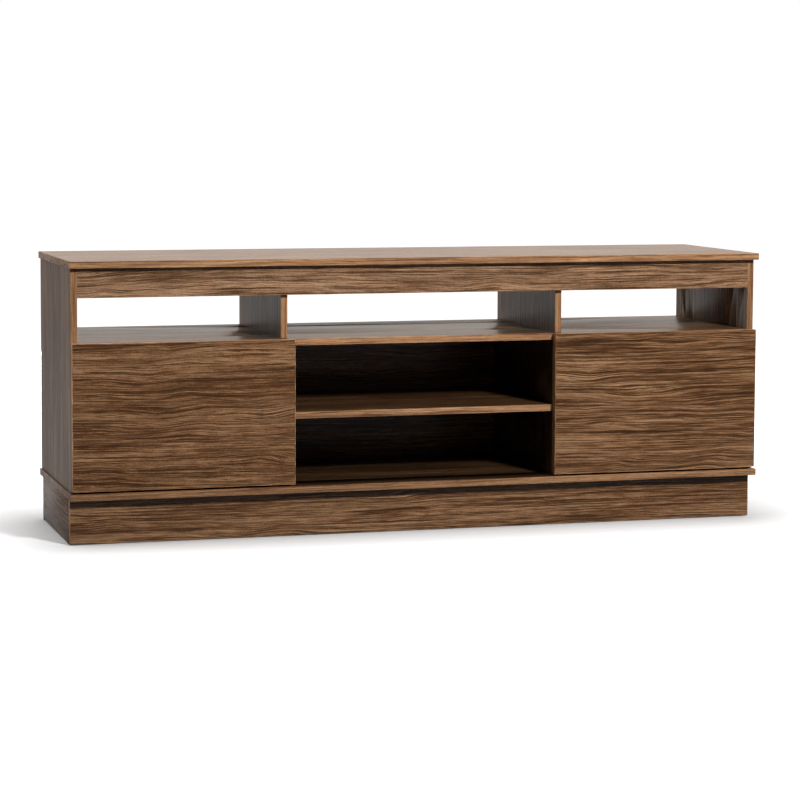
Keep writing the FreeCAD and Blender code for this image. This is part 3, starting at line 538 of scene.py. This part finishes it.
class TVSTAND_OT_boards(bpy.types.Operator):
    """Lay up the walnut boards of the carcass and plinth"""
    bl_idname = "tvstand.boards"
    bl_label = "Carcass boards"

    def execute(self, context):
        chipboard()
        flat = ("X", "Y")
        upright = ("Z", "Y")
        facing = ("X", "Z")
        ends = ("Y", "Z")
        boards = {
            "top_panel": (flat, 11), "bottom_panel": (flat, 29), "niche_deck": (flat, 31),
            "centre_shelf": (flat, 43), "front_rail": (facing, 57),
            "left_side_panel": (upright, 61), "right_side_panel": (upright, 79),
            "left_lower_divider": (upright, 83), "right_lower_divider": (upright, 97),
            "left_upper_divider": (upright, 101), "right_upper_divider": (upright, 113),
            "plinth_front": (facing, 127), "plinth_back": (facing, 131),
            "plinth_left_end": (ends, 149), "plinth_right_end": (ends, 151), "plinth_brace": (ends, 163),
        }
        # the rail is printed paler than the rest, and its greyer colours paint the sheen it shows
        paler_with_painted_sheen = {"front_rail": [(0.16, "#4B331F"), (0.34, "#6A4B33"), (0.51, "#957154"), (0.62, "#A88365"),
                                (0.78, "#C09C7B")]}
        # painted shade and painted light: these lifts darken the shelf, bottom panel and lower dividers of
        # the shaded centre bay, and lighten the left upper divider, to stand in for the light each gets
        painted_light_lifts = {"centre_shelf": 0.68, "bottom_panel": 0.42, "left_upper_divider": 1.4,
                 "left_lower_divider": 0.45, "right_lower_divider": 0.32}
        glosses = {"left_side_panel": 0.38, "right_side_panel": 0.38, "niche_deck": 0.31}
        for node, ((along, across), seed) in boards.items():
            material = walnut("walnut_laminate_" + node, along, across, seed, lift=painted_light_lifts.get(node, 1.0),
                              wave=0.3 if along == "Z" else 1.0, stops=paler_with_painted_sheen.get(node),
                              roughness=glosses.get(node))
            laminated_board(node, material, next(axis for axis in "XYZ" if axis not in (along, across)))
        return {"FINISHED"}


class TVSTAND_OT_doors(bpy.types.Operator):
    """Lay up the two door panels"""
    bl_idname = "tvstand.doors"
    bl_label = "Doors"

    def execute(self, context):
        for node, seed, lift in (("left_door_panel", 7, 1.08), ("right_door_panel", 171, 1.0)):
            laminated_board(node, walnut("walnut_laminate_" + node, "X", "Z", seed, lift), "Y")
        return {"FINISHED"}


class TVSTAND_OT_edge_bands(bpy.types.Operator):
    """Iron on the edge bands"""
    bl_idname = "tvstand.edge_bands"
    bl_label = "Edge bands"

    def execute(self, context):
        # a paper band with the same print, lighter and almost straight, with a duller skin
        stops = [(0.1, "#6B4833"), (0.35, "#916948"), (0.65, "#B2865F"), (0.9, "#D0A984")]
        bands = {
            "top_edge_bands": ("X", "Z"), "bottom_edge_bands": ("X", "Z"), "deck_edge_band": ("X", "Z"),
            "shelf_edge_band": ("X", "Z"), "rail_edge_band": ("X", "Y"), "side_edge_bands": ("Z", "X"),
            "lower_divider_edge_bands": ("Z", "X"), "upper_divider_edge_bands": ("Z", "X"),
            "plinth_edge_bands": ("Z", "Y"), "left_door_edge_bands": ("X", "Y"),
            "right_door_edge_bands": ("X", "Y"),
        }
        # painted highlight and painted shade: the door bands are lifted to paint the light line along the
        # doors' edges, and the other bands are lifted or lowered to stand in for the light that falls on each
        painted_light_lifts = {"left_door_edge_bands": 1.4, "right_door_edge_bands": 1.2, "shelf_edge_band": 0.9,
                 "side_edge_bands": 0.78, "bottom_edge_bands": 0.82, "deck_edge_band": 1.1,
                 "upper_divider_edge_bands": 1.05, "top_edge_bands": 1.05}
        for number, (node, (along, across)) in enumerate(bands.items()):
            material = walnut("edge_band_" + node, along, across, seed=200 + 7 * number,
                              lift=painted_light_lifts.get(node, 1.0), wave=0.2, stops=stops, roughness=0.36)
            rounded_copy(node, node + "_strip", context.scene.tv_stand_edges.band, material, segments=2)
        return {"FINISHED"}


class TVSTAND_OT_back_sheets(bpy.types.Operator):
    """Nail on the three back sheets"""
    bl_idname = "tvstand.back_sheets"
    bl_label = "Back sheets"

    def execute(self, context):
        # hot-pressed wood fibre, unprinted behind: an even brown felt with short fibres, drawn coarser
        hardboard = plain_finish("pressed_hardboard", "#8C6848", 0.66, grit=1.6, wear=0.1, mottle=0.22)
        for number, node in enumerate(("left_back_panel", "centre_back_panel", "right_back_panel")):
            # painted light: the printed fronts are lifted by 1.2, standing in for light bouncing into the bay
            printed = walnut("printed_hardboard_" + node, "X", "Z", seed=301 + 9 * number, lift=1.2,
                             roughness=0.26)
            piece = copy_of(node, node + "_sheet")
            settle(piece, node, [printed, hardboard])
            # all but the printed front
            paint_faces(piece, 1, lambda face: face.normal.y > -0.5)
        return {"FINISHED"}


class TVSTAND_OT_finishes(bpy.types.Operator):
    """Make the metal, plastic and beech finishes, and give them to the pieces kept from the frame"""
    bl_idname = "tvstand.finishes"
    bl_label = "Finishes"

    def execute(self, context):
        finishes = {
            # pressed and plated: bright, with a soft sheen that breaks up on the finest scale
            "steel": plain_finish("nickel_plated_steel", "#C9C8C4", 0.24, metallic=1.0),
            # cast in a steel die and left bare: duller and greyer than plate, slightly grainy
            "zinc": plain_finish("die_cast_zinc", "#A9A9A6", 0.42, metallic=1.0, grit=0.8),
            # moulded in a spark-eroded tool: even colour with a fine matt grain
            "black_plastic": plain_finish("moulded_polypropylene_black", "#17171A", 0.5),
            "brown_plastic": plain_finish("moulded_polypropylene_brown", "#4A3426", 0.5),
            # moulded in a polished tool: closed, waxy and a little shinier
            "grey_plastic": plain_finish("moulded_acetal_grey", "#8E8E8E", 0.38),
            # turned and left raw: pale, matt and speckled with short rays, drawn coarser than real ones
            "beech": plain_finish("turned_beech", "#C9A474", 0.6, grit=1.2, mottle=0.10),
        }
        for node, slot in SLOT_OF.items():
            if slot in finishes:
                materials = frame["nodes"][node].data.materials
                materials.clear()
                materials.append(finishes[slot])
        return {"FINISHED"}


def finish_of(node):
    """The finish that a frame node was given."""
    return frame["nodes"][node].data.materials[0]


class TVSTAND_OT_hinges(bpy.types.Operator):
    """Press and plate the hinge cups, arms and mounting plates"""
    bl_idname = "tvstand.hinges"
    bl_label = "Hinges"

    def execute(self, context):
        for node, width in (("left_hinge_cups", 0.5), ("right_hinge_cups", 0.5), ("hinge_arms", 0.6),
                            ("hinge_mounting_plates", 0.5)):
            rounded_copy(node, node + "_plated", width * MM, finish_of(node))
        return {"FINISHED"}


class TVSTAND_OT_fasteners(bpy.types.Operator):
    """Cut cross slots in the screws and cam locks"""
    bl_idname = "tvstand.fasteners"
    bl_label = "Fasteners"

    def execute(self, context):
        for node in ("hinge_plate_screws", "hinge_arm_screws", "left_cup_screws", "right_cup_screws",
                     "latch_screws", "plinth_block_screws", "divider_screws", "cam_locks"):
            piece = rounded_copy(node, node + "_slotted", context.scene.tv_stand_edges.fastener,
                                 finish_of(node), segments=2)
            cut_cross_slots(piece)
        return {"FINISHED"}


class TVSTAND_OT_latches(bpy.types.Operator):
    """Mould the push latches and their strike discs"""
    bl_idname = "tvstand.latches"
    bl_label = "Latches"

    def execute(self, context):
        for node, width in (("latch_housings", 1.0), ("left_latch_plunger", 0.8),
                            ("right_latch_plunger", 0.8), ("left_strike_disc", 0.3),
                            ("right_strike_disc", 0.3)):
            rounded_copy(node, node + "_moulded", width * MM, finish_of(node))
        return {"FINISHED"}


class TVSTAND_OT_supports(bpy.types.Operator):
    """Mould the floor glides and plinth blocks, and turn the shelf pins"""
    bl_idname = "tvstand.supports"
    bl_label = "Supports"

    def execute(self, context):
        for node, width in (("floor_glides", 0.8), ("plinth_blocks", 1.0), ("shelf_pins", 0.4)):
            rounded_copy(node, node + "_rounded", width * MM, finish_of(node))
        return {"FINISHED"}


class TVSTAND_OT_stage(bpy.types.Operator):
    """Set up the floor, the lights and the camera"""
    bl_idname = "tvstand.stage"
    bl_label = "Stage"

    def execute(self, context):
        context.scene.view_settings.view_transform = "Standard"
        self.add_floor()
        self.add_world(context.scene)
        self.add_lights()
        self.add_camera(context.scene)
        return {"FINISHED"}

    def add_floor(self):
        """A white floor.

        A little light of its own keeps it white away from the stand, where the lamps don't reach; this glow
        fades out towards the stand, which paints a soft contact shadow round its foot. It sends only a little
        of the lamps' light back up under the boards."""
        glow_reach = 0.6
        shadow_reach = 0.3
        matt = 0.14  # how pale it is to everything but the eye
        deselect()
        bpy.ops.mesh.primitive_plane_add(size=60, location=(0, 0, 0))
        floor = bpy.context.object
        floor.name = "studio_floor"
        material = new_material("pale_studio_floor")
        tree = material.node_tree
        place = add_node(tree, "ShaderNodeTexCoord").outputs["Object"]
        path = add_node(tree, "ShaderNodeLightPath")
        # distance from the outline of the bottom panel
        foot = [max(abs(low), abs(high)) for low, high in zip(*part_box("bottom_panel"))][:2] + [0.0]
        away = add_node(tree, "ShaderNodeVectorMath", {0: place}, operation="ABSOLUTE")
        away = add_node(tree, "ShaderNodeVectorMath", {0: away.outputs[0], 1: foot}, operation="SUBTRACT")
        away = add_node(tree, "ShaderNodeVectorMath", {0: away.outputs[0]}, operation="MAXIMUM")
        away = add_node(tree, "ShaderNodeVectorMath", {0: away.outputs[0]}, operation="LENGTH")
        away = away.outputs["Value"]
        # painted shadow: the glow the eye sees fades out towards the stand's outline
        seen = add_node(tree, "ShaderNodeMapRange", {
            "Value": away, "From Max": glow_reach, "To Min": 0.05, "To Max": 1.02}).outputs[0]
        # mirrored in the satin skin, it is bright behind the stand and dark in front of it
        depth = add_node(tree, "ShaderNodeSeparateXYZ", {0: place}).outputs["Y"]
        mirrored = add_node(tree, "ShaderNodeMapRange", {
            "Value": depth, "From Min": -0.8, "From Max": 0.8, "To Min": 0.0, "To Max": 0.35}).outputs[0]
        glow = add_node(tree, "ShaderNodeMath", {0: path.outputs["Is Glossy Ray"], 1: mirrored},
                        operation="MULTIPLY").outputs[0]
        glow = add_node(tree, "ShaderNodeMath", {0: path.outputs["Is Camera Ray"], 1: seen, 2: glow},
                        operation="MULTIPLY_ADD")
        # painted shadow: a little darker near the stand, which firms up the contact shadow
        pale = add_node(tree, "ShaderNodeMapRange", {
            "Value": away, "From Max": shadow_reach, "To Min": 0.83 - matt, "To Max": 0.9 - matt})
        shade = add_node(tree, "ShaderNodeMath", {
            0: path.outputs["Is Camera Ray"], 1: pale.outputs[0], 2: matt}, operation="MULTIPLY_ADD")
        shader = add_node(tree, "ShaderNodeBsdfPrincipled", {
            "Base Color": shade.outputs[0], "Roughness": 0.95, "Specular IOR Level": 0.0,
            "Emission Color": (1, 1, 1, 1), "Emission Strength": glow.outputs[0]})
        finish_material(tree, shader)
        floor.data.materials.append(material)

    def add_world(self, scene):
        """White to the eye, with little light of its own on matt surfaces.

        In reflections it is bright behind the stand and dark in front of it, and a little less bright at
        the left, which keeps the print clear on the doors and pales it on the top and the left side."""
        world = bpy.data.worlds.new("studio_surround")
        scene.world = world
        world.use_nodes = True
        tree = world.node_tree
        tree.nodes.clear()
        direction = add_node(tree, "ShaderNodeTexCoord").outputs["Generated"]
        split = add_node(tree, "ShaderNodeSeparateXYZ", {0: direction})
        behind = add_node(tree, "ShaderNodeMapRange", {
            "Value": split.outputs["Y"], "From Min": -0.7, "From Max": 0.4, "To Min": 0.08, "To Max": 1.0})
        side = add_node(tree, "ShaderNodeMapRange", {
            "Value": split.outputs["X"], "From Min": -0.2, "From Max": 0.15, "To Min": 0.46, "To Max": 0.87})
        reflected = add_node(tree, "ShaderNodeMath", {0: behind.outputs[0], 1: side.outputs[0]},
                             operation="MULTIPLY")
        path = add_node(tree, "ShaderNodeLightPath")
        fill = add_node(tree, "ShaderNodeMix", {0: path.outputs["Is Glossy Ray"], 2: 0.03,
                                                3: reflected.outputs[0]}, data_type="FLOAT")
        seen = add_node(tree, "ShaderNodeMix", {0: path.outputs["Is Camera Ray"], 2: fill.outputs[0],
                                                3: 1.0}, data_type="FLOAT")
        tint = add_node(tree, "ShaderNodeMix", {0: path.outputs["Is Camera Ray"], 6: linear("#FFF7EF"),
                                                7: linear("#FFFFFF")}, data_type="RGBA")
        background = add_node(tree, "ShaderNodeBackground", {
            "Color": tint.outputs[2], "Strength": seen.outputs[0]})
        add_node(tree, "ShaderNodeOutputWorld", {"Surface": background.outputs[0]})

    def add_lights(self):
        """A small key from the front right, a wide softbox overhead, a low one behind, a weak one at left."""
        target = Vector((0, 0, 0.3))
        # place, width and height in metres, power in watts, and whether it shows in the satin skin
        lamps = {
            "key_softbox": ((1.2, -4.2, 2.4), 0.6, 0.4, 228, False),
            "top_softbox": ((-0.2, 0.35, 2.9), 4.0, 2.4, 84, True),
            "rear_softbox": ((0.4, 4.4, 0.75), 1.6, 0.7, 80, False),
            "left_softbox": ((-3.6, 0.7, 1.3), 1.0, 1.0, 20, False),
        }
        for name, (place, width, height, power, in_gloss) in lamps.items():
            lamp = bpy.data.lights.new(name, "AREA")
            lamp.shape = "RECTANGLE"
            lamp.size = width
            lamp.size_y = height
            lamp.energy = power
            holder = bpy.data.objects.new(name, lamp)
            holder.location = place
            holder.rotation_euler = (target - Vector(place)).to_track_quat("-Z", "Y").to_euler()
            holder.visible_camera = False
            holder.visible_glossy = in_gloss
            bpy.context.scene.collection.objects.link(holder)

    def add_camera(self, scene):
        settings = scene.tv_stand_stage
        lens = bpy.data.cameras.new("camera")
        lens.lens = settings.lens
        lens.sensor_width = 36.0
        lens.shift_y = settings.shift
        holder = bpy.data.objects.new("camera", lens)
        holder.matrix_world = (Matrix.Translation(settings.location)
                               @ Matrix.Rotation(-settings.heading, 4, "Z")
                               @ Matrix.Rotation(math.pi / 2 - settings.tilt, 4, "X")
                               @ Matrix.Rotation(settings.roll, 4, "Z"))
        scene.collection.objects.link(holder)
        scene.camera = holder


class TVSTAND_PT_panel(bpy.types.Panel):
    """Buttons that build the stand"""
    bl_idname = "TVSTAND_PT_panel"
    bl_label = "TV Stand"
    bl_space_type = "VIEW_3D"
    bl_region_type = "UI"
    bl_category = "TV Stand"

    def draw(self, context):
        scene = context.scene
        for group in (scene.tv_stand_walnut, scene.tv_stand_edges, scene.tv_stand_stage):
            for name in group.bl_rna.properties.keys():
                if name not in ("rna_type", "name"):
                    self.layout.prop(group, name)
        for operator in OPERATORS:
            self.layout.operator(operator.bl_idname)


OPERATORS = (
    TVSTAND_OT_boards,
    TVSTAND_OT_doors,
    TVSTAND_OT_edge_bands,
    TVSTAND_OT_back_sheets,
    TVSTAND_OT_finishes,
    TVSTAND_OT_hinges,
    TVSTAND_OT_fasteners,
    TVSTAND_OT_latches,
    TVSTAND_OT_supports,
    TVSTAND_OT_stage,
)
CLASSES = (WalnutSettings, EdgeSettings, StageSettings) + OPERATORS + (TVSTAND_PT_panel,)


def register():
    for item in CLASSES:
        bpy.utils.register_class(item)
    bpy.types.Scene.tv_stand_walnut = PointerProperty(type=WalnutSettings)
    bpy.types.Scene.tv_stand_edges = PointerProperty(type=EdgeSettings)
    bpy.types.Scene.tv_stand_stage = PointerProperty(type=StageSettings)


def unregister():
    del bpy.types.Scene.tv_stand_stage
    del bpy.types.Scene.tv_stand_edges
    del bpy.types.Scene.tv_stand_walnut
    for item in reversed(CLASSES):
        bpy.utils.unregister_class(item)


def main():
    register()
    bpy.ops.tvstand.boards()
    bpy.ops.tvstand.doors()
    bpy.ops.tvstand.edge_bands()
    bpy.ops.tvstand.back_sheets()
    bpy.ops.tvstand.finishes()
    bpy.ops.tvstand.hinges()
    bpy.ops.tvstand.fasteners()
    bpy.ops.tvstand.latches()
    bpy.ops.tvstand.supports()
    bpy.ops.tvstand.stage()


if __name__ == "__main__":
    main()
